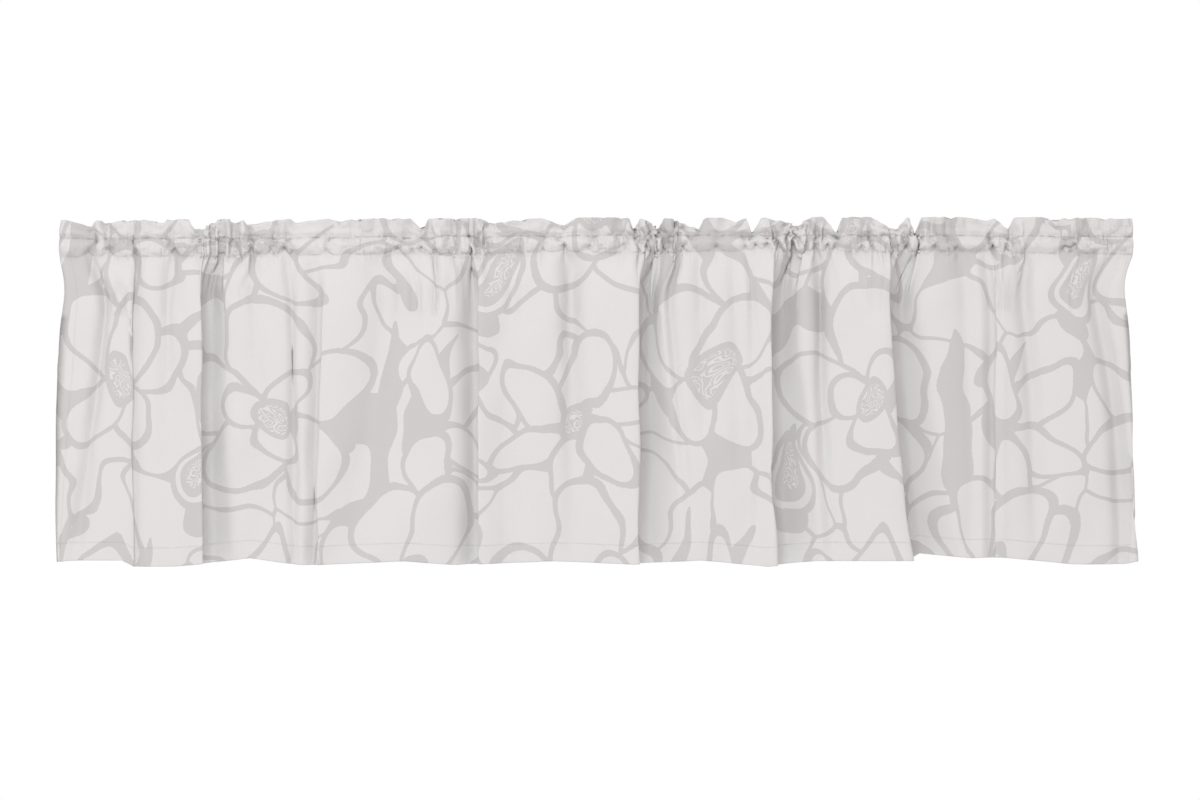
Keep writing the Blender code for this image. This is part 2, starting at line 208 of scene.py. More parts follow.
# The grid of the cloth
COLUMNS = 681           # yarns modelled across the cloth
FACET = 0.0055          # a run of cloth that earns as many columns as a bend of FACET_TURN
FACET_TURN = 0.28       # radians
PUCKER_FACET = 0.0012   # a run that earns as many in a pucker as deep as FULL_PUCKER
FULL_PUCKER = 0.0026
PLAN_SAMPLES = 20000
ROW_STEPS = (           # distances between rows down the skirt: how many, how far
    (6, 0.0016), (6, 0.0030), (6, 0.0050), (2, 0.0080),
)
LOWER_STEPS = ((7, 0.0080), (7, 0.0150), (6, 0.0040), (30, 0.0130))
HEM_ROWS = (0.75, 0.5, 0.25, 0.06, 0.0)  # rows of the hem, as shares of its height
SEAM_STEP = 0.001       # from the hem's stitch row to the rows beside it
POCKET_ROWS = 10
RUFFLE_ROWS = 8
FLAT_LEVELS = (0.3, 0.5, 0.7, 0.9)  # levels at which the width of the flat cloth is taken

# The folds in plan
LAP_BACK = 0.3          # how deep in a lapped fold its overhanging edge turns back, as a share
SWING_RATE = 0.6        # how fast the panels swing forward to PANEL_Y, against the folds' opening

# The sewn cloth
CLOTH = 0.0004
FLAT_POCKET = 0.025     # pocket wall and ruffle as measured on the flat cloth
FLAT_RUFFLE = 0.024
LAYER = 0.0009          # from one layer of a hem to the next
TAIL_BACK, HEM_BACK = 1.3, 1.6  # layers from the skirt back to the pocket's tail and to its hem
THREAD_PRESS = 0.0005   # half the distance between the layers at a stitch row
POCKET_HEIGHT = 0.022
POCKET_BULGE = 0.0056
SEAM_SINK = 0.0010      # how far the stitch rows draw the cloth in

# The gathering along the stitch rows
OPEN_LEVEL = 0.12       # level whose places the lapped folds keep at the stitch rows
BEYOND_LAP = 0.027      # how far beyond a lapped fold its cloth is gathered
DEEP_LAP = 0.015        # depth from which a lapped fold is gathered so
GATHER_REACH = 0.024    # distance over which the gathering is evened out
GATHER_WIDTH = 0.0038   # half the width of cloth that a pucker draws together
GATHER_PLAIN = 0.12     # how much the cloth between puckers is drawn together
GATHER_MOST = 1.5
PUCKER_UNIT = 0.003     # depth of a pucker that counts as one
PUCKER_SPREAD = 0.006   # half the length of stitch row that a pucker pulls out of line
PINCH_PULL = 0.9        # share of the way to its pinch that a pucker pulls the row

# The ruffle
RUFFLE_EASE = 0.012     # distance over which its yarns spread out again at the top
NOTCH_LEAN = 0.75       # how far it leans back in a notch, by the notch's depth
RUFFLE_LEAN = 0.0060    # how far it leans forward between notches
LEAN_FADE = 0.003
CURL = 0.0022           # how far it curls forward just above the stitch row
CURL_MIDDLE, CURL_HALF = 0.3, 0.2  # where, as shares of its height
SWAY = 0.0023           # how far its top edge sways in and out
SWAY_LENGTHS = (0.020, 0.055)
SWAY_WAVES = 6
TUCK_LEAST = 0.008      # depth of the shallowest notch with a tuck
TUCK_STEP = 0.003
TUCK_RUN = 0.008
TUCK_ROOM = 0.018       # how far behind the rod's axis the tucks reach unhindered
TUCK_PAST = 0.3         # share kept of what goes farther
TOP_KEPT = 0.85         # how nearly its rows go back to their heights before settling
SWAY_SINK = 0.25        # how far it sinks where it sways

# The puckers, once the cloth has settled. The first three are multiples of a pucker's depth.
PUCKER_LIFT = 2.4       # how far a pucker draws the stitch rows together
PUCKER_CUSP = 1.6       # how far it draws them in
POCKET_CREASE = 0.8     # how deep its crease across the pocket is
POCKET_GROOVE = 0.0022  # half the width of its groove there
CROSS_CREASE = 0.0022   # depth of the creases from each pucker to the next
CROSS_REACH = 0.026     # about how far apart such puckers are at most
CREASE_WIDTH = 0.0018
CUSP_WIDTH = 0.0020     # width of a cusp at its stitch row, and how it grows away from it
CUSP_SPREAD = 0.35
CUSP_BELOW = 0.020      # how far a cusp reaches down the skirt, and elsewhere
CUSP_ELSEWHERE = 0.013
CUSP_DRIFT = 0.008      # yarns that go sideways by more than this have weaker cusps
LIFT_WIDTH = 0.0048
LIFT_REACH = 0.010

# The skirt
GROOVE_DEPTH = 1.2      # by its pucker's depth
GROOVE_WIDTH = 0.003    # half the width of a groove at its pucker, and how it grows below
GROOVE_SPREAD = 0.10
GROOVE_FADE = 0.010     # how far down it reaches, and how much farther by its depth
GROOVE_MORE = 12.0
GROOVE_DRIFT = 0.006    # yarns that go sideways by more than this have weaker grooves
DRIFT_FADE = 0.040      # distance down the skirt over which yarns go sideways
SWELL = 0.00040         # unevenness of the panels
SWELL_LENGTHS = (0.05, 0.20)
SWELL_WAVES = 14
SWELL_SLANT = 2.5       # how far its waves slant, and what that does to place and phase
SLANT_PLACE, SLANT_PHASE = 0.3, 5
SWELL_START = 0.08      # distance down the skirt over which it grows
CREASE_END = 0.2        # share of a crease's length over which it fades at each end


# ---------------- the folds in plan
def opening_out(level):
    """0 at the stitch row, 1 where the folds are fully open, quick at first."""
    share = min(level / FOLD_START, 1.0)
    return share * (2.0 - share)


def at_level(top, mid, hem, level):
    """Smooth curve through a fold's top, mid and hem values."""
    start, middle, end = TABLE_LEVELS
    t = max(level - start, 0.0) / (end - start)
    m = (middle - start) / (end - start)
    pull = (mid - (1 - m) ** 2 * top - m * m * hem) / (2 * m * (1 - m))
    return (1 - t) ** 2 * top + 2 * t * (1 - t) * pull + t * t * hem


def fold_points(fold, level):
    """Plan points of one fold at a level: (x, how far in behind the panels), left to right."""
    grown = opening_out(level)
    x = at_level(fold.x_top, fold.x_mid, fold.x_hem, level)
    depth = at_level(fold.in_top, fold.in_mid, fold.in_hem, level) * grown
    run = lerp(fold.run_top, fold.run_hem, level)
    if fold.front == NEITHER:
        return [(x - run, 0.0), (x, depth), (x + run, 0.0)]
    away = -fold.front
    closed = ROW_SPREAD * (1.0 - grown)
    points = [
        (x - away * closed, -fold.crest * grown),
        (x - away * fold.lap * grown, LAP_BACK * depth),
        (x + away * (fold.gap * grown + closed), depth),
        (x + away * (fold.gap + run), 0.0),
    ]
    return points if away > 0 else points[::-1]


def plan_points(level):
    """Control points of the whole skirt in plan at a level."""
    swing = PANEL_Y * opening_out(SWING_RATE * level)
    points = [(at_level(*LEFT_EDGE[:3], level), LEFT_EDGE.back)]
    for fold in FOLDS:
        points += fold_points(fold, level)
    points.append((at_level(*RIGHT_EDGE[:3], level), RIGHT_EDGE.back))
    return np.array(points) + np.array((0.0, swing))


def spline(points, params):
    """Centripetal Catmull-Rom curve through the points, at params counted in points."""
    ends = np.vstack((2 * points[0] - points[1], points, 2 * points[-1] - points[-2]))
    i = np.minimum(params.astype(int), len(points) - 2)
    p = [ends[i + k] for k in range(4)]
    knots = [np.zeros((len(params), 1))]
    for k in range(3):
        run = np.linalg.norm(p[k + 1] - p[k], axis=1, keepdims=True)
        knots.append(knots[k] + np.sqrt(run))
    t = knots[1] + (params - i)[:, None] * (knots[2] - knots[1])

    def between(a, b, j, k):
        return a + (b - a) * (t - knots[j]) / (knots[k] - knots[j])

    a = [between(p[k], p[k + 1], k, k + 1) for k in range(3)]
    b = [between(a[k], a[k + 1], k, k + 2) for k in range(2)]
    return between(b[0], b[1], 1, 2)


def lerp(a, b, share):
    return a + (b - a) * share


def smooth(share):
    share = np.clip(share, 0.0, 1.0)
    return share * share * (3.0 - 2.0 * share)


def column_params(puckers):
    """Spline params of the columns, closer together where the cloth bends or is gathered."""
    fine = np.linspace(0.0, len(plan_points(0.5)) - 1.0, PLAN_SAMPLES)
    weight = np.zeros(len(fine) - 1)
    for level in TABLE_LEVELS:
        steps = np.diff(spline(plan_points(level), fine), axis=0)
        run = np.hypot(*steps.T)
        turn = np.abs(np.diff(np.unwrap(np.arctan2(steps[:, 1], steps[:, 0])), prepend=0.0))
        turn[0] = 0.0
        weight += (run / FACET + turn / FACET_TURN) / len(TABLE_LEVELS)
    x = spline(plan_points(0.0), fine)[1:, 0]
    drawn = np.zeros_like(weight)
    for pucker in puckers:
        near = np.exp(-((x - pucker.lower) / PUCKER_SPREAD) ** 2)
        drawn = np.maximum(drawn, near * min(1.0, pucker.depth / FULL_PUCKER))
    weight = np.maximum(weight, run * drawn / PUCKER_FACET)
    total = np.concatenate(([0.0], np.cumsum(weight)))
    return np.interp(np.linspace(0.0, total[-1], COLUMNS), total, fine)


def evened(values, at, reach):
    """Values averaged over their neighbourhood, by distance along the cloth."""
    even = np.linspace(at[0], at[-1], 4 * len(at))
    count = int(3 * reach / (even[1] - even[0]))
    bell = np.exp(-0.5 * (3 * np.arange(-count, count + 1) / count) ** 2)
    padded = np.pad(np.interp(even, at, values), count, mode="edge")
    return np.interp(at, even, np.convolve(padded, bell / bell.sum(), mode="valid"))


# ---------------- the heading
def all_puckers():
    """The puckers of the table, and the fine gathers between them."""
    rng = random.Random(GATHER_SEED)
    puckers = list(PUCKERS)
    for gather in FINE_GATHERS:
        x = gather.start
        while x < gather.end:
            x += gather.pitch * rng.uniform(*GATHER_PITCHES)
            lean = rng.uniform(-GATHER_LEAN, GATHER_LEAN)
            depth = gather.depth * rng.uniform(*GATHER_DEPTHS)
            puckers.append(Pucker(x - lean, x + lean, None, depth))
    return puckers


def grooves(x, centres, widths, depths):
    """How far rows of grooves draw the cloth in at each x."""
    total = np.zeros_like(x)
    for centre, width, depth in zip(centres, widths, depths):
        total += depth * np.exp(-((x - centre) / width) ** 2)
    return total


def fixed_columns(params, across):
    """Columns that keep their places along the stitch rows: the two sides, the front edge of
    each lapped fold, and a place on the panel a little beyond each deep one."""
    fixed, count = {0, len(params) - 1}, 1
    for fold in FOLDS:
        points = len(fold_points(fold, 1.0))
        if fold.front != NEITHER:
            ends = (count, count + points - 1)[::-fold.front]
            edge, far = np.searchsorted(params, np.array(ends) - 1e-9)
            fixed.add(int(edge))
            if fold.in_top > DEEP_LAP:
                fixed.add(int(np.searchsorted(across, across[far] - fold.front * BEYOND_LAP)))
        count += points
    return sorted(fixed)


def gathered(across, open_x, fixed, centres, depths, loosest=0.90, tightest=0.68):
    """Where the yarns lie along a stitch row: close in the puckers, flat between them.

    open_x is where they lie in the open folds, and fixed the columns that keep that place. The
    gathering is made stronger or weaker by bisection, until the cloth between those fits.
    """
    share = evened(np.gradient(open_x) / np.gradient(across), across, GATHER_REACH)
    slack = 1.0 - np.clip(share, 0.2, loosest)
    at = np.interp(centres, open_x, across)
    drawn = grooves(across, at, [GATHER_WIDTH] * len(at), depths / PUCKER_UNIT)
    drawn = np.minimum(GATHER_PLAIN + drawn, GATHER_MOST)
    slack = slack * drawn / evened(drawn, across, GATHER_REACH)
    x = np.zeros_like(across)
    for start, end in zip(fixed, fixed[1:]):
        part = slice(start, end + 1)
        steps = np.diff(across[part])
        width = open_x[end] - open_x[start]
        low, high = 0.0, 12.0
        for _ in range(40):
            middle = 0.5 * (low + high)
            ratio = 1.0 - np.minimum(middle * slack[part], tightest)
            runs = 0.5 * (ratio[1:] + ratio[:-1]) * steps
            low, high = (middle, high) if runs.sum() > width else (low, middle)
        x[part] = open_x[start] + np.concatenate(([0.0], np.cumsum(runs))) * width / runs.sum()
    return x


def row_values(x, puckers):
    """Heights of the lower stitch row, upper stitch row and plain top edge at each x."""
    table = np.array(ROWS)
    lower, upper, top = (np.interp(x, table[:, 0], table[:, k]) for k in (1, 2, 3))
    plain = lower.copy()
    for pucker in puckers:
        if pucker.pinch is not None:
            near = np.exp(-((x - pucker.lower) / PUCKER_SPREAD) ** 2)
            lower = lower + near * (pucker.pinch - np.interp(pucker.lower, x, plain)) * PINCH_PULL
    return lower, upper, top


def notch_values(x, slope=0.8, roundness=0.008, sharpness=1.25):
    """How deep the ruffle's edge is notched at each x."""
    depth = np.zeros_like(x)
    for notch in NOTCHES:
        run = np.where(x < notch.x, notch.left, notch.right)
        off = np.sqrt(((x - notch.x) / run) ** 2 + roundness)
        near = np.clip(1.0 - slope * off, 0.0, 1.0) ** sharpness
        depth = np.maximum(depth, near * notch.depth)
    return depth


def tuck_values(x, back=1.10, forward=0.30):
    """How far in the ruffle lies beside its deep notches, whose left side laps the right one."""
    total = np.zeros_like(x)
    for notch in NOTCHES:
        if notch.depth > TUCK_LEAST:
            off = x - notch.x
            right = smooth(off / TUCK_STEP + 0.5)
            behind = right * np.exp(-np.maximum(off, 0.0) / TUCK_RUN)
            ahead = (1.0 - right) * np.exp(np.minimum(off, 0.0) / TUCK_RUN)
            total += notch.depth * (back * behind - forward * ahead)
    return total


def heading_rows(across, open_x, fixed, puckers):
    """Rows of the front from the top edge down to the lower stitch row, and their flat heights."""
    lows = np.array([p.lower for p in puckers])
    ups = np.array([p.upper for p in puckers])
    depths = np.array([p.depth for p in puckers])
    rows, flats = [], []
    x_upper = gathered(across, open_x, fixed, ups, depths)
    for k in range(RUFFLE_ROWS + 1):
        t = 1.0 - k / RUFFLE_ROWS
        x = lerp(x_upper, evened(x_upper, across, RUFFLE_EASE), t)
        _, upper, top = row_values(x, puckers)
        notch = notch_values(x)
        lean = NOTCH_LEAN * notch - RUFFLE_LEAN * np.exp(-notch / LEAN_FADE)
        widths = GROOVE_WIDTH * (1 + 1.5 * t) * np.ones(len(ups))
        pinch = grooves(x, ups, widths, depths * math.exp(-2.0 * t))
        curl = -CURL * math.exp(-((t - CURL_MIDDLE) / CURL_HALF) ** 2) if k < RUFFLE_ROWS else SEAM_SINK
        y = lean * t ** 1.2 + 0.6 * pinch - THREAD_PRESS + curl
        rows.append(np.column_stack((x, y, lerp(upper, top - notch, t))))
        flats.append(-FLAT_POCKET - FLAT_RUFFLE * t)
    for k in range(1, POCKET_ROWS + 1):
        q = 1.0 - k / POCKET_ROWS
        centres = lerp(lows, ups, q)
        x = gathered(across, open_x, fixed, centres, depths)
        lower, upper, _ = row_values(x, puckers)
        round_out = 4 * q * (1 - q)
        bulge = POCKET_BULGE * round_out ** 0.7 if k < POCKET_ROWS else -SEAM_SINK
        pinch = 1.3 * grooves(x, centres, [POCKET_GROOVE] * len(centres), depths)
        y = (0.5 + 0.5 * round_out ** 0.5) * pinch - THREAD_PRESS - bulge
        rows.append(np.column_stack((x, y, lerp(lower, upper, q))))
        flats.append(-FLAT_POCKET * q)
    return rows, flats


def back_rows(front):
    """The cloth behind the heading's front, from its top edge down to the lower stitch row."""
    ruffle = front[:RUFFLE_ROWS + 1]
    normals = surface_normals(ruffle)
    rows = [row - 2 * THREAD_PRESS * normal for row, normal in zip(ruffle, normals)]
    neck, seam = front[RUFFLE_ROWS], front[RUFFLE_ROWS + POCKET_ROWS]
    for k in range(1, POCKET_ROWS + 1):
        row = front[RUFFLE_ROWS + k].copy()
        flat_line = lerp(neck[:, 1], seam[:, 1], k / POCKET_ROWS)
        row[:, 1] = np.maximum(2 * flat_line - row[:, 1], row[:, 1]) + 2 * THREAD_PRESS
        rows.append(row)
    return np.array(rows)


# ---------------- the gathers, settled as cloth
SETTLE_DEPTH = 0.16     # how far below the stitch row the cloth is let settle
SETTLE_ROUNDS = 240
SHEAR = 0.3             # share of a slant that is taken out in a round
STIFF = 0.06            # share of a bend across the cloth that is taken out in a round
STIFF_DOWN = 0.2        # and of a bend down the cloth
DRIFT_HOLD = 0.10       # how much more firmly yarns that go sideways are held
DRIFT_FULL = 0.012      # how far sideways a yarn goes that is held so
# How firmly rows keep their places along X, Y and Z, from 0 to 1. SKIRT_HOLD is that just under
# the stitch row, and SKIRT_MORE what is added to it farther down.
SEAM_HOLD = (0.5, 0.03, 0.06)
TOP_HOLD = (0.03, 0.020, 0.12)
RUFFLE_HOLD = (0.01, 0.010, 0.010)
POCKET_HOLD = (0.03, 0.008, 0.015)
SKIRT_HOLD = (0.004, 0.004, 0.01)
SKIRT_MORE = (0.5, 0.5, 0.6)


def neighbours(shape, down, across):
    """Pairs of points a step apart in the grid, in two groups that share no point."""
    rows, columns = shape
    r, c = np.mgrid[:rows - down, max(0, -across):columns - max(0, across)]
    first = r * columns + c
    group = (c // across if down == 0 else r // down) % 2
    return [(first[group == k], first[group == k] + down * columns + across) for k in (0, 1)]


def settle(grid, across, down, hold, drift):
    """Bring the sheet to its true flat size as cloth that bends, held near its places row by row.

    drift is how far each yarn goes sideways under the stitch row. Where that is far, the yarns are
    held more firmly.
    """
    shape = grid.shape[:2]
    points = grid.reshape(-1, 3).copy()
    places = points.copy()
    flat = np.array(np.meshgrid(across, down)).reshape(2, -1)
    held = np.repeat(hold, shape[1], axis=0).reshape(*shape, 3)
    held[np.array(down) > 0, :, 1] += DRIFT_HOLD * np.clip(drift / DRIFT_FULL, 0.0, 1.0)
    held = held.reshape(-1, 3)
    ties = []
    for step_down, step_across, share in (
            (0, 1, 1.0), (1, 0, 1.0), (1, 1, SHEAR), (1, -1, SHEAR),
            (0, 2, STIFF), (0, 4, STIFF), (2, 0, STIFF_DOWN)):
        for a, b in neighbours(shape, step_down, step_across):
            rest = np.hypot(*(flat[:, b] - flat[:, a]))
            bend = step_down == 2 or step_across > 1
            ties.append((a, b, rest, share, bend))
    for _ in range(SETTLE_ROUNDS):
        for a, b, rest, share, bend in ties:
            apart = points[b] - points[a]
            length = np.sqrt((apart * apart).sum(axis=1))
            gap = length - rest
            if bend:
                gap = np.minimum(gap, 0.0)
            move = (0.5 * share * gap / length)[:, None] * apart
            points[a] += move
            points[b] -= move
        points += (places - points) * held
    return points.reshape(grid.shape)


def settle_hold(down):
    """How firmly each row keeps its place. The last two don't move."""
    hold = []
    for row, distance in enumerate(down):
        if row in (RUFFLE_ROWS, RUFFLE_ROWS + POCKET_ROWS):
            hold.append(SEAM_HOLD)
        elif row == 0:
            hold.append(TOP_HOLD)
        elif row < RUFFLE_ROWS:
            hold.append(RUFFLE_HOLD)
        elif distance <= 0:
            hold.append(POCKET_HOLD)
        else:
            firm = float(smooth(distance / SETTLE_DEPTH)) ** 1.5
            hold.append(tuple(least + more * firm for least, more in zip(SKIRT_HOLD, SKIRT_MORE)))
    hold[-2:] = [(1.0, 1.0, 1.0)] * 2
    return np.array(hold)


def pinched(grid, top, across, down, puckers):
    """Draw the cloth in sharply where the puckers meet the stitch rows, and notch the ruffle.

    top is the heights of the ruffle's rows before the cloth settled.
    """
    grid = grid.copy()
    depths = np.sqrt(PUCKER_UNIT * np.array([p.depth for p in puckers]))[:, None]
    drift = np.abs(grid[RUFFLE_ROWS + POCKET_ROWS, :, 0] - grid[-1, :, 0])
    calm = 1.0 / (1.0 + (drift / CUSP_DRIFT) ** 2)
    centres = {}
    for seam, side in ((RUFFLE_ROWS, -1), (RUFFLE_ROWS + POCKET_ROWS, 1)):
        places = np.array([p.lower if side > 0 else p.upper for p in puckers])
        centres[side] = np.interp(places, np.maximum.accumulate(grid[seam, :, 0]), across)
        apart = np.abs(across - centres[side][:, None])
        for row, height in enumerate(down):
            off = abs(height - down[seam])
            near = (depths * np.exp(-apart / (CUSP_WIDTH + CUSP_SPREAD * off))).max(axis=0)
            fade, share = (CUSP_BELOW, calm) if height > 0 else (CUSP_ELSEWHERE, 1.0)
            grid[row, :, 1] += PUCKER_CUSP * near * math.exp(-off / fade) * share
            near = (depths * np.exp(-apart / LIFT_WIDTH)).max(axis=0)
            lift = PUCKER_LIFT * (1.0 if side > 0 else -0.5)
            grid[row, :, 2] += lift * near * math.exp(-(off / LIFT_REACH) ** 2)
    upper, lower = np.sort(centres[-1]), np.sort(centres[1])
    for k in range(1, POCKET_ROWS):
        share = k / POCKET_ROWS
        apart = np.abs(across - lerp(centres[-1], centres[1], share)[:, None])
        crease = (depths * np.exp(-apart / CREASE_WIDTH)).max(axis=0)
        grid[RUFFLE_ROWS + k, :, 1] += POCKET_CREASE * crease
        for start, end in ((upper[:-1], lower[1:]), (upper[1:], lower[:-1])):
            run = np.abs(end - start)
            apart = np.abs(across - lerp(start, end, share)[:, None])
            folds = np.exp(-apart / CREASE_WIDTH) * np.exp(-(run / CROSS_REACH) ** 2)[:, None]
            grid[RUFFLE_ROWS + k, :, 1] += CROSS_CREASE * folds.max(axis=0)
    rng = random.Random(SWAY_SEED)
    waves = [(rng.uniform(*SWAY_LENGTHS), rng.uniform(0, 2 * math.pi)) for _ in range(SWAY_WAVES)]
    sway = SWAY * sum(np.sin(2 * math.pi * across / length + phase) for length, phase in waves)
    for row in range(RUFFLE_ROWS):
        share = 1.0 - row / RUFFLE_ROWS
        behind = grid[row, :, 1] + tuck_values(grid[row, :, 0]) * share ** 0.6 + sway * share
        grid[row, :, 1] = np.where(behind < TUCK_ROOM, behind, lerp(TUCK_ROOM, behind, TUCK_PAST))
        grid[row, :, 2] = lerp(grid[row, :, 2], top[row], TOP_KEPT) - SWAY_SINK * np.abs(sway) * share
    return grid


# ---------------- the skirt
def skirt_distances(drop):
    """Distances of the skirt's rows below the lower stitch row, down to the hem."""
    at = [0.0]
    for count, step in ROW_STEPS:
        at += [at[-1] + step * (k + 1) for k in range(count)]
    hem_rows = [drop - BOTTOM_HEM - SEAM_STEP, drop - BOTTOM_HEM + SEAM_STEP]
    hem_rows += [drop - BOTTOM_HEM * share for share in HEM_ROWS]
    for count, step in LOWER_STEPS:
        at += [at[-1] + step * (k + 1) for k in range(count)]
    return [distance for distance in at if distance < hem_rows[0] - 6 * SEAM_STEP] + hem_rows


def level_normals(x, y):
    """Unit normals of a plan curve, pointing to the front."""
    nx, ny = np.gradient(y), -np.gradient(x)
    size = np.hypot(nx, ny)
    return nx / size, ny / size


def flat_positions(params):
    """Distance of each column from the left edge across the flat cloth."""
    runs = [np.hypot(*np.diff(spline(plan_points(level), params), axis=0).T)
            for level in FLAT_LEVELS]
    return np.concatenate(([0.0], np.cumsum(np.mean(runs, axis=0))))


def swell(across, distance):
    """Slight unevenness of the hanging cloth, as how far it stands in at each column."""
    rng = random.Random(SWELL_SEED)
    total = np.zeros_like(across)
    for _ in range(SWELL_WAVES):
        length = rng.uniform(*SWELL_LENGTHS)
        slant = rng.uniform(-SWELL_SLANT, SWELL_SLANT)
        phase = rng.uniform(0, 2 * math.pi)
        place = across + slant * SLANT_PLACE * distance
        total += np.sin(2 * math.pi * place / length + phase + SLANT_PHASE * slant * distance)
    return SWELL * total * smooth(distance / SWELL_START)


def creased(x, z):
    """How far the creases of the table draw the cloth in at each point."""
    total = np.zeros_like(x)
    for crease in CREASES:
        start, end = np.array(crease.start), np.array(crease.end)
        along = end - start
        reach = np.dot(along, along)
        share = ((x - start[0]) * along[0] + (z - start[1]) * along[1]) / reach
        off = ((x - start[0]) * along[1] - (z - start[1]) * along[0]) / math.sqrt(reach)
        inside = smooth(share / CREASE_END) * smooth((1.0 - share) / CREASE_END)
        total += crease.depth * inside * np.exp(-(off / crease.width) ** 2)
    return total


def skirt_rows(params, puckers, seam_x, open_x, across):
    """Rows of the skirt from just under the lower stitch row to the hem."""
    plan_x = spline(plan_points(0.0), params)[:, 0]
    lower = row_values(seam_x, puckers)[0]
    hem_x = np.maximum.accumulate(spline(plan_points(1.0), params)[:, 0])
    hem_z = np.interp(hem_x, *np.array(HEM_LINE).T)
    drop = float(np.mean(lower - hem_z))
    lows = np.array([p.lower for p in puckers])
    leans = np.array([(p.lower - p.upper) / POCKET_HEIGHT for p in puckers])
    depths = np.array([p.depth for p in puckers])
    rows, flats = [], []
    for distance in skirt_distances(drop)[1:]:
        level = distance / drop
        plan = spline(plan_points(level), params)
        widths = (GROOVE_WIDTH + GROOVE_SPREAD * distance) * np.ones(len(lows))
        fade = np.exp(-distance / (GROOVE_FADE + GROOVE_MORE * depths))
        pinch = grooves(seam_x, lows + 0.5 * leans * distance, widths, depths * fade * GROOVE_DEPTH)
        pinch /= 1.0 + ((seam_x - open_x) / GROOVE_DRIFT) ** 2
        nx, ny = level_normals(plan[:, 0], plan[:, 1])
        z = lerp(lower, hem_z, level)
        pinch = pinch + swell(across, distance) + creased(plan[:, 0], z)
        shift = (open_x - plan_x) * (1.0 - opening_out(level))
        shift += (seam_x - open_x) * math.exp(-(distance / DRIFT_FADE) ** 2)
        rows.append(np.column_stack((
            plan[:, 0] + shift - nx * pinch, plan[:, 1] - ny * pinch, z)))
        flats.append(distance)
    return rows, flats


# ---------------- the sheet
def surface_normals(grid):
    """Unit normals of the sheet's right side."""
    across = np.gradient(grid, axis=1)
    down = np.gradient(grid, axis=0)
    normals = np.cross(down, across)
    return normals / np.linalg.norm(normals, axis=2, keepdims=True)


def strip_faces(upper, lower):
    """Faces between two rows of point numbers. One row may have half as many as the other."""
    if len(upper) == len(lower):
        return [(upper[c], lower[c], lower[c + 1], upper[c + 1]) for c in range(len(upper) - 1)]
    faces = []
    for c in range(min(len(upper), len(lower)) - 1):
        if len(upper) > len(lower):
            start, middle, end = upper[2 * c:2 * c + 3]
            near, far = lower[c:c + 2]
            faces += [(start, near, middle), (middle, near, far), (middle, far, end)]
        else:
            start, middle, end = lower[2 * c:2 * c + 3]
            near, far = upper[c:c + 2]
            faces += [(start, middle, near), (middle, far, near), (middle, end, far)]
    return faces


def build_cloth():
    """The whole panel as one mesh, with its turned hems, and its flat size."""
    puckers = all_puckers()
    params = column_params(puckers)
    across = flat_positions(params)
    open_x = np.maximum.accumulate(spline(plan_points(OPEN_LEVEL), params)[:, 0])
    fixed = fixed_columns(params, across)
    front, flat_front = heading_rows(across, open_x, fixed, puckers)
    skirt, flat_skirt = skirt_rows(params, puckers, front[-1][:, 0], open_x, across)

    down = flat_front + flat_skirt
    face = np.array(front + skirt)
    count = int(np.searchsorted(down, SETTLE_DEPTH))
    drift = np.abs(front[-1][:, 0] - open_x)
    settled = settle(face[:count], across, down[:count], settle_hold(down[:count]), drift)
    face[:count] = pinched(settled, face[:RUFFLE_ROWS, :, 2], across, down[:count], PUCKERS)
    back = back_rows(face)
    back_count = len(back)
    flat_back = [2 * flat_front[0] - t for t in flat_front]

    # True rows from the back's lower stitch row, over the top, down to the hem
    rows = np.concatenate((back[::-1], face))
    flat = flat_back[::-1] + down
    normals = np.concatenate((surface_normals(rows[:back_count]), surface_normals(face)))

    # Rows of the mesh: a tail under the back's stitch row, all rows, the turned-up hem. Each has
    # the true row that it lies behind, how far behind, its flat height, and its columns' spacing.
    first_skirt = back_count + len(front)
    fine_end = first_skirt + sum(count for count, _ in ROW_STEPS)
    last = len(rows) - 1
    row_map = [(k, TAIL_BACK * LAYER, flat[0] - flat[k], 2)
               for k in range(first_skirt + 2, first_skirt - 1, -1)]
    row_map += [(k, 0.0, flat[k], 1 if back_count <= k < fine_end else 2) for k in range(last + 1)]
    row_map += [(k, LAYER * (HEM_BACK if k < last else 1.0), 2 * flat[last] - flat[k], 2)
                for k in range(last, last - len(HEM_ROWS) - 2, -1)]

    inside = np.nonzero(across < SIDE_HEM)[0]
    outside = np.nonzero(across > across[-1] - SIDE_HEM)[0]
    inside, outside = inside[:len(inside) // 2 * 2], outside[len(outside) % 2:]
    column_map = [(c, LAYER, -across[c]) for c in inside[::-1]]
    column_map += [(c, 0.0, across[c]) for c in range(len(across))]
    column_map += [(c, LAYER, 2 * across[-1] - across[c]) for c in outside[::-1]]

    points, uvs, numbers = [], [], []
    for r, row_back, t, spacing in row_map:
        columns = column_map[::spacing]
        numbers.append(range(len(points), len(points) + len(columns)))
        for c, column_back, s in columns:
            points.append(rows[r, c] - normals[r, c] * (row_back + column_back))
            uvs.append((s, -t))
    faces = [corners for pair in zip(numbers, numbers[1:]) for corners in strip_faces(*pair)]
    mesh = bpy.data.meshes.new("valance_cloth")
    mesh.from_pydata([tuple(p) for p in points], [], faces)
    layer = mesh.uv_layers.new(name="cloth")
    loops = np.zeros(len(mesh.loops), dtype=np.int64)
    mesh.loops.foreach_get("vertex_index", loops)
    layer.data.foreach_set("uv", np.array(uvs)[loops].ravel())
    mesh.shade_smooth()
    cloth = placed("valance_cloth", mesh)
    solid = cloth.modifiers.new("thickness", "SOLIDIFY")
    solid.thickness = CLOTH
    solid.offset = 0.0
    solid.material_offset = 1
    solid.material_offset_rim = 0
    size = (across[-1] + 2 * SIDE_HEM, row_map[-1][2] - row_map[0][2])
    return cloth, size, down[-1]


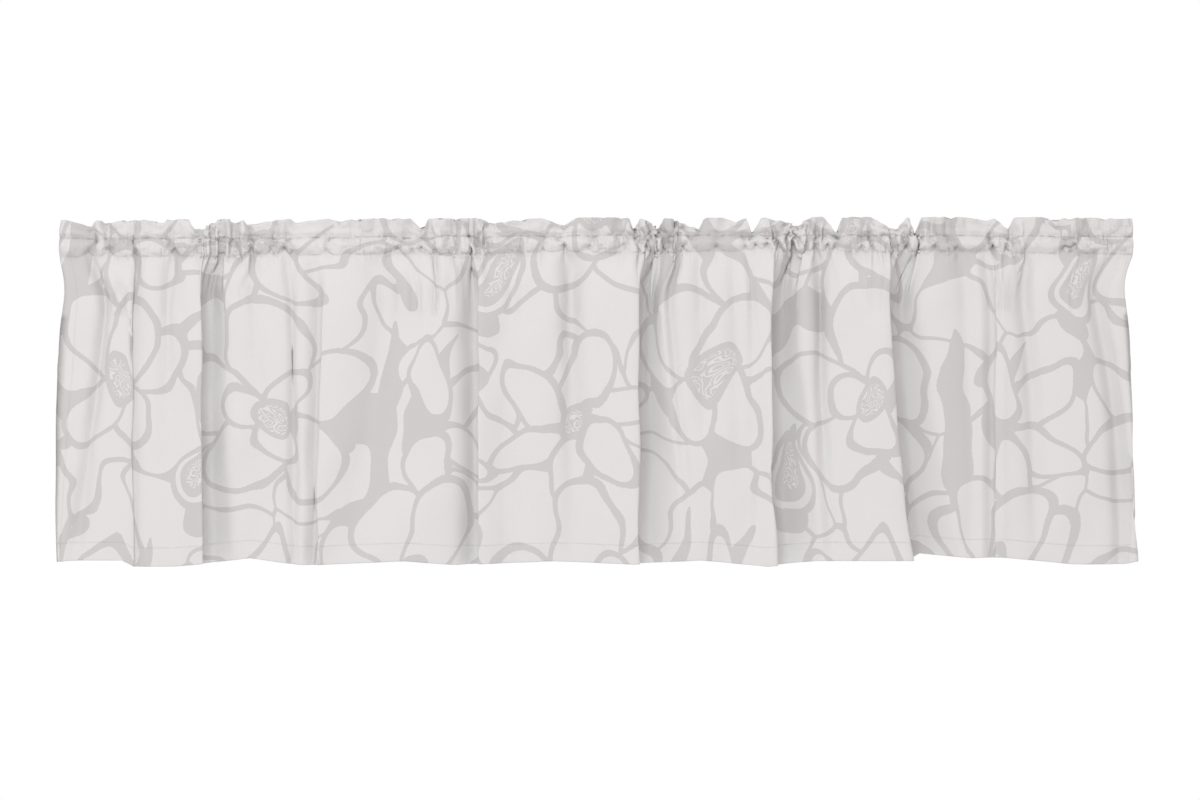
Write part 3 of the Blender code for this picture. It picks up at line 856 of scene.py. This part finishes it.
# ---------------- the print
# One generic floral design of open blossoms, leaves and twigs, in outline. Each shape is an egg,
# in metres on the flat cloth: the direction it points from its motif's centre, the distance out
# to its middle, half its length and width, how much wider it is at the outer end, what fills it.
OUTLINED, SOLID, SPECKLED = 0, 1, 2
Egg = namedtuple("Egg", "angle out length width taper fill", defaults=(0.2, OUTLINED))
Motif = namedtuple("Motif", "x y eggs")
REPEAT = (0.47, 0.50)   # the design's repeat, each column half a repeat lower
LINE = 0.0034           # half the width of an outline
MOTIFS = (
    Motif(0.060, -0.020, (      # twig
        Egg(88, 0.080, 0.110, 0.013, -0.3, SOLID), Egg(60, 0.150, 0.060, 0.013, -0.5, SOLID),
        Egg(128, 0.130, 0.050, 0.012, -0.5, SOLID), Egg(268, 0.060, 0.080, 0.020, 0.4, SOLID),
    )),
    Motif(-0.120, -0.190, (     # spray of leaves on a dark heart
        Egg(0, 0.0, 0.052, 0.034, 0.0, SOLID), Egg(20, 0.080, 0.062, 0.029, -0.3),
        Egg(75, 0.070, 0.055, 0.027, -0.3), Egg(140, 0.068, 0.055, 0.028, -0.3),
        Egg(200, 0.074, 0.060, 0.027, -0.3), Egg(265, 0.068, 0.055, 0.027, -0.3),
        Egg(320, 0.072, 0.056, 0.028, -0.3), Egg(40, 0.004, 0.022, 0.015, 0.0, SPECKLED),
    )),
    Motif(0.130, 0.060, (       # side leaves
        Egg(0, 0.0, 0.036, 0.030, 0.0, SOLID), Egg(35, 0.064, 0.054, 0.027, -0.2),
        Egg(95, 0.056, 0.052, 0.025, -0.2), Egg(-30, 0.062, 0.052, 0.026, -0.2),
        Egg(-85, 0.058, 0.050, 0.025, -0.2),
    )),
    Motif(-0.090, 0.090, (      # large open blossom
        Egg(96, 0.074, 0.070, 0.048), Egg(24, 0.072, 0.068, 0.045),
        Egg(170, 0.072, 0.068, 0.046), Egg(-50, 0.066, 0.064, 0.045),
        Egg(-124, 0.066, 0.064, 0.047), Egg(0, 0.002, 0.036, 0.032, 0.0, SOLID),
        Egg(60, 0.034, 0.036, 0.026), Egg(165, 0.034, 0.036, 0.026),
        Egg(-92, 0.032, 0.034, 0.027), Egg(80, 0.0, 0.025, 0.021, 0.0, SPECKLED),
    )),
    Motif(0.120, -0.130, (      # blossom from the side
        Egg(150, 0.060, 0.062, 0.036), Egg(30, 0.060, 0.062, 0.036),
        Egg(112, 0.062, 0.064, 0.041), Egg(66, 0.060, 0.064, 0.041),
        Egg(-60, 0.042, 0.046, 0.031), Egg(-130, 0.042, 0.046, 0.031),
        Egg(90, 0.004, 0.031, 0.020, 0.0, SPECKLED),
    )),
    Motif(-0.225, 0.000, (      # bud
        Egg(262, 0.040, 0.034, 0.014, 0.5, SOLID), Egg(80, 0.0, 0.046, 0.031, -0.2),
        Egg(70, 0.014, 0.038, 0.016, -0.3, SPECKLED),
    )),
)
# How the print is bent and filled: scales are in features a metre
BEND_SCALE = 9.0        # slow bends of its lines
VEIN_BEND = 0.17
EGG_BEND = 0.075
EDGE_SCALE = 420.0      # ragged edges of its lines
EDGE_BEND = 0.0012
VEIN_SCALE = 9.0        # cells whose edges are veins, and whose corners are grey
VEIN = 0.034
CORNER = 0.66
SWIRL_SCALE = 60.0      # curls in the speckled eggs
SWIRL_BEND = 0.02
CURL_SCALE = 85.0
CURL_PITCH = 0.17
CURL_LINE = 0.065

# The cotton
STITCH = 0.0028         # length of a stitch with its gap
STITCH_GAP = 0.25       # the gap's share of it
THREAD = 0.0005         # thickness of the thread
SHADOWS = (0.55, 0.9, 0.15)  # strength of the painted shadow along the lower and upper stitch rows and along the hems
SHADOW_RUN = (0.0003, 0.0016)  # distances from a stitch row between which its painted shadow ends
SHADOW_GRAIN = (0.012, 1.0)  # patches of weaker painted shadow: their size, and noise to strength
SHADOW_PATCH = (0.40, 0.62, 0.10, 1.0)
WEAVE = 0.00005         # height of the yarns
YARN = (0.00045, 0.016)  # width and length of their grain
SLUB = (0.030, 0.0009)
SLUB_PATCH = (0.66, 0.76, 0.0, 1.0)
SLUB_HEIGHT = 0.8       # by the height of the yarns
RIPPLE = 0.0045         # height of the finest puckers at the stitch rows
RIPPLE_GRAIN = (0.0090, 0.040)
RIPPLE_BELOW = 0.024    # how far below the lower and above the upper row they reach
RIPPLE_ABOVE = 0.016
RIPPLE_TOP = 0.15       # what is left of them above that
DRAWN_GRAIN = (0.09, 0.5)  # stretches that are drawn in less
DRAWN_PATCH = (0.35, 0.6, 0.25, 1.0)
POCKET_EDGE = (-0.005, 0.001)  # heights between which the facets start
CRUMPLE = 0.0045        # height of the creased facets in the pocket
CRUMPLE_GRAIN = (0.015, 0.013)
SEAM_DENT = 0.0006
# SHADOW_TINT darkens the colour along the stitch rows and hems: a painted shadow.
WEAVE_TINT, SHADOW_TINT, THREAD_TINT = 0.03, -0.27, 0.14
PLAIN_TINT = 0.968
REVERSE_PRINT = 0.45    # strength of the print on the reverse
GROUND = (0.626, 0.611, 0.614, 1.0)
GREY = (0.511, 0.492, 0.498, 1.0)
ROUGHNESS, SPECULAR, SHEEN = 0.9, 0.3, 0.15
VECTOR, FLOAT = "NodeSocketVector", "NodeSocketFloat"


class Nodes:
    """Short calls that add and link nodes in one tree."""

    def __init__(self, tree):
        self.tree = tree

    def add(self, kind, *inputs, **settings):
        """A node of a kind, with its settings and its inputs in order. None leaves one alone."""
        node = self.tree.nodes.new(kind)
        for name, value in settings.items():
            setattr(node, name, value)
        for socket, value in zip(node.inputs, inputs):
            if value is not None:
                self.feed(socket, value)
        return node

    def feed(self, socket, value):
        """Link a socket to another one, or give it a value."""
        if isinstance(value, bpy.types.NodeSocket):
            self.tree.links.new(value, socket)
        else:
            socket.default_value = value

    def group(self, tree, **inputs):
        """The outputs of a node group, with its inputs by name."""
        node = self.add("ShaderNodeGroup", node_tree=tree)
        for name, value in inputs.items():
            self.feed(node.inputs[name], value)
        return node.outputs

    def math(self, operation, *inputs):
        return self.add("ShaderNodeMath", *inputs, operation=operation).outputs[0]

    def vector(self, operation, *inputs):
        return self.add("ShaderNodeVectorMath", *inputs, operation=operation).outputs[0]

    def product(self, first, *others):
        for other in others:
            first = self.math("MULTIPLY", first, other)
        return first

    def remap(self, value, start, end, low, high):
        return self.add("ShaderNodeMapRange", value, start, end, low, high).outputs[0]

    def noise(self, place, *inputs, output="Color", **settings):
        return self.add("ShaderNodeTexNoise", place, None, *inputs, **settings).outputs[output]

    def cells(self, place, scale, feature="F1"):
        """Distance from the middle or the edge of the nearest cell."""
        return self.add("ShaderNodeTexVoronoi", place, None, scale, feature=feature,
                        voronoi_dimensions="2D").outputs["Distance"]

    def mixed(self, amount, first, second):
        """A colour between two colours."""
        node = self.add("ShaderNodeMix", amount, data_type="RGBA")
        for socket, colour in zip(node.inputs[6:8], (first, second)):
            socket.default_value = colour
        return node.outputs[2]

    def split(self, vector):
        return self.add("ShaderNodeSeparateXYZ", vector).outputs

    def join(self, x, y):
        return self.add("ShaderNodeCombineXYZ", x, y).outputs[0]


def new_group(name, inputs, outputs):
    """A node group and its input sockets and output node."""
    tree = bpy.data.node_groups.new(name, "ShaderNodeTree")
    for label, kind in inputs:
        tree.interface.new_socket(label, in_out="INPUT", socket_type=kind)
    for label, kind in outputs:
        tree.interface.new_socket(label, in_out="OUTPUT", socket_type=kind)
    nodes = Nodes(tree)
    return nodes, nodes.add("NodeGroupInput").outputs


def repeat_group():
    """Place on the flat cloth to the place about the nearest copy of a motif."""
    nodes, given = new_group("repeat", (("Place", VECTOR), ("Centre", VECTOR)), (("Place", VECTOR),))
    width, height = REPEAT
    x, y, _ = nodes.split(nodes.vector("SUBTRACT", given["Place"], given["Centre"]))
    column = nodes.math("FLOOR", nodes.math("MULTIPLY_ADD", x, 1 / width, 0.5))
    x = nodes.math("MULTIPLY_ADD", column, -width, x)
    y = nodes.math("MULTIPLY_ADD", column, 0.5 * height, y)
    y = nodes.math("WRAP", y, 0.5 * height, -0.5 * height)
    nodes.add("NodeGroupOutput", nodes.join(x, y))
    return nodes.tree


def egg_group():
    """One egg, laid over the print so far."""
    nodes, given = new_group("egg", (
        ("Place", VECTOR), ("Print", FLOAT), ("Middle", VECTOR), ("Turn", VECTOR), ("Size", VECTOR),
        ("Taper", FLOAT), ("Line", FLOAT), ("Fill", FLOAT)), (("Print", FLOAT),))
    local = nodes.add("ShaderNodeMapping", given["Place"], given["Middle"], given["Turn"], given["Size"],
                      vector_type="TEXTURE").outputs[0]
    x, y, _ = nodes.split(local)
    wider = nodes.math("MULTIPLY_ADD", x, given["Taper"], 1.0)
    reach = nodes.add("ShaderNodeVectorMath", nodes.join(x, nodes.math("DIVIDE", y, wider)),
                      operation="LENGTH").outputs["Value"]
    outside = nodes.math("GREATER_THAN", reach, 1.0)
    line = nodes.math("COMPARE", reach, 1.0, given["Line"])
    laid = nodes.add("ShaderNodeMix", outside, None, given["Fill"], given["Print"], data_type="FLOAT")
    nodes.add("NodeGroupOutput", nodes.math("MAXIMUM", laid.outputs[0], line))
    return nodes.tree


def printed(nodes, place, groups):
    """The print, 0 on the ground and 1 on the grey, at a place on the flat cloth."""
    repeat, egg_shape = groups[:2]
    loose = nodes.noise(place, BEND_SCALE, 1.5, 0.45)
    ragged = nodes.noise(place, EDGE_SCALE, 0.0)
    bent = nodes.vector("MULTIPLY_ADD", loose, (VEIN_BEND, VEIN_BEND, 0.0), place)
    place = nodes.vector("MULTIPLY_ADD", loose, (EGG_BEND, EGG_BEND, 0.0), place)
    place = nodes.vector("MULTIPLY_ADD", ragged, (EDGE_BEND, EDGE_BEND, 0.0), place)
    veins = nodes.math("LESS_THAN", nodes.cells(bent, VEIN_SCALE, "DISTANCE_TO_EDGE"), VEIN)
    corners = nodes.cells(bent, VEIN_SCALE)
    print_so_far = nodes.math("MAXIMUM", veins, nodes.math("GREATER_THAN", corners, CORNER))
    swirl = nodes.noise(place, SWIRL_SCALE, 1.0)
    curls = nodes.vector("MULTIPLY_ADD", swirl, (SWIRL_BEND, SWIRL_BEND, 0.0), place)
    curls = nodes.math("PINGPONG", nodes.cells(curls, CURL_SCALE), CURL_PITCH)
    curls = nodes.math("GREATER_THAN", curls, CURL_LINE)
    for motif in MOTIFS:
        about = nodes.group(repeat, Place=place, Centre=(motif.x, motif.y, 0))[0]
        for egg in motif.eggs:
            turn = math.radians(egg.angle)
            print_so_far = nodes.group(
                egg_shape, Place=about, Print=print_so_far,
                Middle=(egg.out * math.cos(turn), egg.out * math.sin(turn), 0), Turn=(0, 0, turn),
                Size=(egg.length, egg.width, 1), Taper=egg.taper, Line=LINE / egg.width,
                Fill=curls if egg.fill == SPECKLED else float(egg.fill))[0]
    return print_so_far


def seam_group(width, drop):
    """Stitch rows and hems on the flat cloth: how near one is, as the strength of the painted shadow along
    it (which also sets its dent), and its thread.
    """
    nodes, given = new_group("seams", (("Place", VECTOR),),
                             (("Near", FLOAT), ("Thread", FLOAT), ("Height", FLOAT)))
    x, y, _ = nodes.split(given["Place"])
    top = FLAT_POCKET + FLAT_RUFFLE
    height = nodes.math("MINIMUM", y, nodes.math("SUBTRACT", 2 * top, y))
    near, thread = 0.0, 0.0
    lower, upper, hem = SHADOWS
    # Each row and hem gets a painted shadow of its strength, fading over SHADOW_RUN, and a dashed thread.
    for value, line, other, shadow in (
            (height, 0.0, x, lower), (height, FLAT_POCKET, x, upper), (y, BOTTOM_HEM - drop, x, hem),
            (x, SIDE_HEM, y, hem), (x, width - SIDE_HEM, y, hem)):
        off = nodes.math("ABSOLUTE", nodes.math("SUBTRACT", value, line))
        near = nodes.math("MAXIMUM", near, nodes.remap(off, *SHADOW_RUN, shadow, 0.0))
        along = nodes.math("FRACT", nodes.math("DIVIDE", other, STITCH))
        stitch = nodes.math("GREATER_THAN", along, STITCH_GAP)
        stitch = nodes.product(stitch, nodes.math("LESS_THAN", off, 0.5 * THREAD))
        thread = nodes.math("MAXIMUM", thread, stitch)
    nodes.add("NodeGroupOutput", near, thread, height)
    return nodes.tree


def in_grains(nodes, place, across, down):
    """The place counted in grains of a size across and down the cloth, in metres."""
    return nodes.vector("MULTIPLY", place, (1 / across, 1 / down, 0.0))


def grain(nodes, place, across, down):
    """Noise with its own grain size across and down the cloth, in metres."""
    scaled = in_grains(nodes, place, across, down)
    return nodes.noise(scaled, 1.0, 1.0, output="Fac", noise_dimensions="2D")


def cotton(name, groups, strength):
    """Printed cotton, plain woven, puckered at its stitch rows, with a painted shadow along those rows and
    the hems. The reverse shows the print faintly.
    """
    material = bpy.data.materials.new(name)
    material.use_nodes = True
    nodes = Nodes(material.node_tree)
    shader = material.node_tree.nodes["Principled BSDF"]
    place = nodes.add("ShaderNodeUVMap", uv_map="cloth").outputs[0]

    near, thread, height = nodes.group(groups[2], Place=place)
    # The painted shadow along the stitch rows and hems, broken into weaker patches.
    near = nodes.product(near, nodes.remap(grain(nodes, place, *SHADOW_GRAIN), *SHADOW_PATCH))
    warp = grain(nodes, place, *YARN)
    weft = grain(nodes, place, *YARN[::-1])
    slubs = nodes.remap(grain(nodes, place, *SLUB), *SLUB_PATCH)
    weave = nodes.math("ADD", nodes.math("ADD", warp, weft), nodes.product(slubs, SLUB_HEIGHT))

    ripple = nodes.math("ABSOLUTE", nodes.math("SUBTRACT", grain(nodes, place, *RIPPLE_GRAIN), 0.5))
    below = nodes.remap(height, -RIPPLE_BELOW, 0.0, 0.0, 1.0)
    above = nodes.remap(height, FLAT_POCKET, FLAT_POCKET + RIPPLE_ABOVE, 1.0, RIPPLE_TOP)
    drawn = nodes.remap(grain(nodes, place, *DRAWN_GRAIN), *DRAWN_PATCH)
    relief = nodes.product(ripple, nodes.product(below, above, drawn), RIPPLE)
    facets = nodes.cells(in_grains(nodes, place, *CRUMPLE_GRAIN), 1.0)
    pocket = nodes.remap(height, *POCKET_EDGE, 0.0, 1.0)
    crumpled = nodes.product(pocket, above, drawn, facets)
    for raised, scale in (
            (crumpled, -CRUMPLE), (weave, WEAVE), (near, -SEAM_DENT), (thread, 0.5 * THREAD)):
        relief = nodes.math("MULTIPLY_ADD", raised, scale, relief)
    bump = nodes.add("ShaderNodeBump", 1.0, 1.0)
    nodes.feed(bump.inputs["Height"], relief)
    nodes.feed(shader.inputs["Normal"], bump.outputs[0])

    colour = nodes.mixed(nodes.product(printed(nodes, place, groups), strength), GROUND, GREY)
    tint = nodes.math("MULTIPLY_ADD", weave, WEAVE_TINT, PLAIN_TINT)
    # Painted shadow: darken the colour along the stitch rows and hems.
    tint = nodes.math("MULTIPLY_ADD", near, SHADOW_TINT, tint)
    tint = nodes.math("MULTIPLY_ADD", thread, THREAD_TINT, tint)
    nodes.feed(shader.inputs["Base Color"], nodes.vector("SCALE", colour, None, None, tint))
    shader.inputs["Roughness"].default_value = ROUGHNESS
    shader.inputs["Specular IOR Level"].default_value = SPECULAR
    shader.inputs["Sheen Weight"].default_value = SHEEN
    return material


# ---------------- camera, light and floor
WORLD_FRONT = (0.877, 0.849, 0.816, 1.0)  # studio light in front of the cloth; behind it is white
KEY_COLOUR = (0.960, 1.000, 1.040)  # cooler than that, so that shadows are the warmer
FRAME_WIDTH = 1.56      # width of the view at the rod
CAMERA_DISTANCE = 4.5
CAMERA_X = 0.0046
CAMERA_Z = -0.203
SENSOR = 36.0
KEY_PLACE = (-1.0, -4.0, 2.2)
KEY_TARGET = (0, 0, -0.2)
KEY_SIZE = (1.6, 0.8)
KEY_WATTS = 88
FLOOR_HALF = 2.2
FLOOR_Z = -1.05
FLOOR_COLOUR = (0.85, 0.85, 0.85, 1)
WORLD_TURN = (-0.3, 0.5)  # y of the direction between which the world goes white


def placed(name, data):
    """An object with its data, in the scene."""
    thing = bpy.data.objects.new(name, data)
    bpy.context.scene.collection.objects.link(thing)
    return thing


def add_camera():
    data = bpy.data.cameras.new("camera")
    data.sensor_width = SENSOR
    data.lens = SENSOR * CAMERA_DISTANCE / FRAME_WIDTH
    camera = placed("camera", data)
    camera.location = (CAMERA_X, -CAMERA_DISTANCE, CAMERA_Z)
    camera.rotation_euler = (math.radians(90), 0, 0)
    bpy.context.scene.camera = camera


def add_key():
    data = bpy.data.lights.new("key", "AREA")
    data.shape = "RECTANGLE"
    data.size, data.size_y = KEY_SIZE
    data.energy = KEY_WATTS
    data.color = KEY_COLOUR
    lamp = placed("key", data)
    lamp.location = KEY_PLACE
    lamp.rotation_euler = (Vector(KEY_TARGET) - Vector(KEY_PLACE)).to_track_quat("-Z", "Y").to_euler()


def add_stage():
    mesh = bpy.data.meshes.new("floor")
    corners = [(x * FLOOR_HALF, y * FLOOR_HALF, FLOOR_Z) for x, y in ((-1, -1), (1, -1), (1, 1), (-1, 1))]
    mesh.from_pydata(corners, [], [(0, 1, 2, 3)])
    material = bpy.data.materials.new("pale_floor")
    material.use_nodes = True
    material.node_tree.nodes["Principled BSDF"].inputs["Base Color"].default_value = FLOOR_COLOUR
    mesh.materials.append(material)
    placed("floor", mesh)
    scene = bpy.context.scene
    scene.world = bpy.data.worlds.new("studio")
    scene.world.use_nodes = True
    nodes = Nodes(scene.world.node_tree)
    _, y, _ = nodes.split(nodes.add("ShaderNodeTexCoord").outputs["Generated"])
    behind = nodes.add("ShaderNodeMapRange", y, *WORLD_TURN, 0.0, 1.0, interpolation_type="SMOOTHSTEP")
    colour = nodes.mixed(behind.outputs[0], WORLD_FRONT, (1, 1, 1, 1))
    nodes.feed(nodes.tree.nodes["Background"].inputs["Color"], colour)
    scene.view_settings.view_transform = "Standard"
    scene.view_settings.look = "None"


cloth, flat_size, drop = build_cloth()
groups = (repeat_group(), egg_group(), seam_group(flat_size[0] - 2 * SIDE_HEM, drop))
cloth.data.materials.append(cotton("printed_cotton_face", groups, 1.0))
cloth.data.materials.append(cotton("printed_cotton_reverse", groups, REVERSE_PRINT))
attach(cloth, "root")
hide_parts("heading", "skirt")

add_stage()
add_key()
add_camera()
